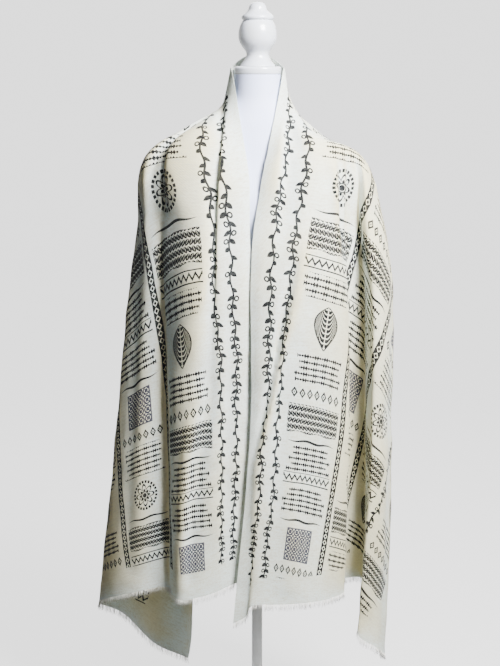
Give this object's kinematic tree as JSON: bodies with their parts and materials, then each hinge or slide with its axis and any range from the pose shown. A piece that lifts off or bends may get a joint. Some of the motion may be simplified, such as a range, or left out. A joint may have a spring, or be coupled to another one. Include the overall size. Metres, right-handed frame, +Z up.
{
  "type": "prayer shawl on a limbless dress form",
  "caption": "Long cream prayer shawl with frayed ends, draped over the shoulders of a white limbless dress form on a pole and round foot.",
  "frame": {"origin": "on the floor, at the middle of the stand's foot", "axes": "+Z up along the stand's pole; -Y to the front, where the shawl opens; +X to the viewer's right"},
  "size_m": [0.6982, 0.3705, 1.6998],
  "materials": {
    "shawl_cotton": "plain-woven cream cotton, matte, printed in dark ink",
    "frayed_cotton": "loose frayed cream cotton threads",
    "form_jersey": "fine stretched jersey, cool white",
    "white_painted_wood": "turned wood, satin white paint",
    "white_painted_steel": "satin white powder coat"
  },
  "bodies": {
    "root": {"shawl_left_fall": "shawl_cotton", "shawl_back_fall": "shawl_cotton", "shawl_right_fall": "shawl_cotton", "fringe_left_end": "frayed_cotton", "fringe_right_end": "frayed_cotton", "form_torso": "form_jersey", "neck_block": "white_painted_wood", "neck_finial": "white_painted_wood", "stand_pole": "white_painted_steel", "stand_foot": "white_painted_steel"}
  },
  "joints": []
}
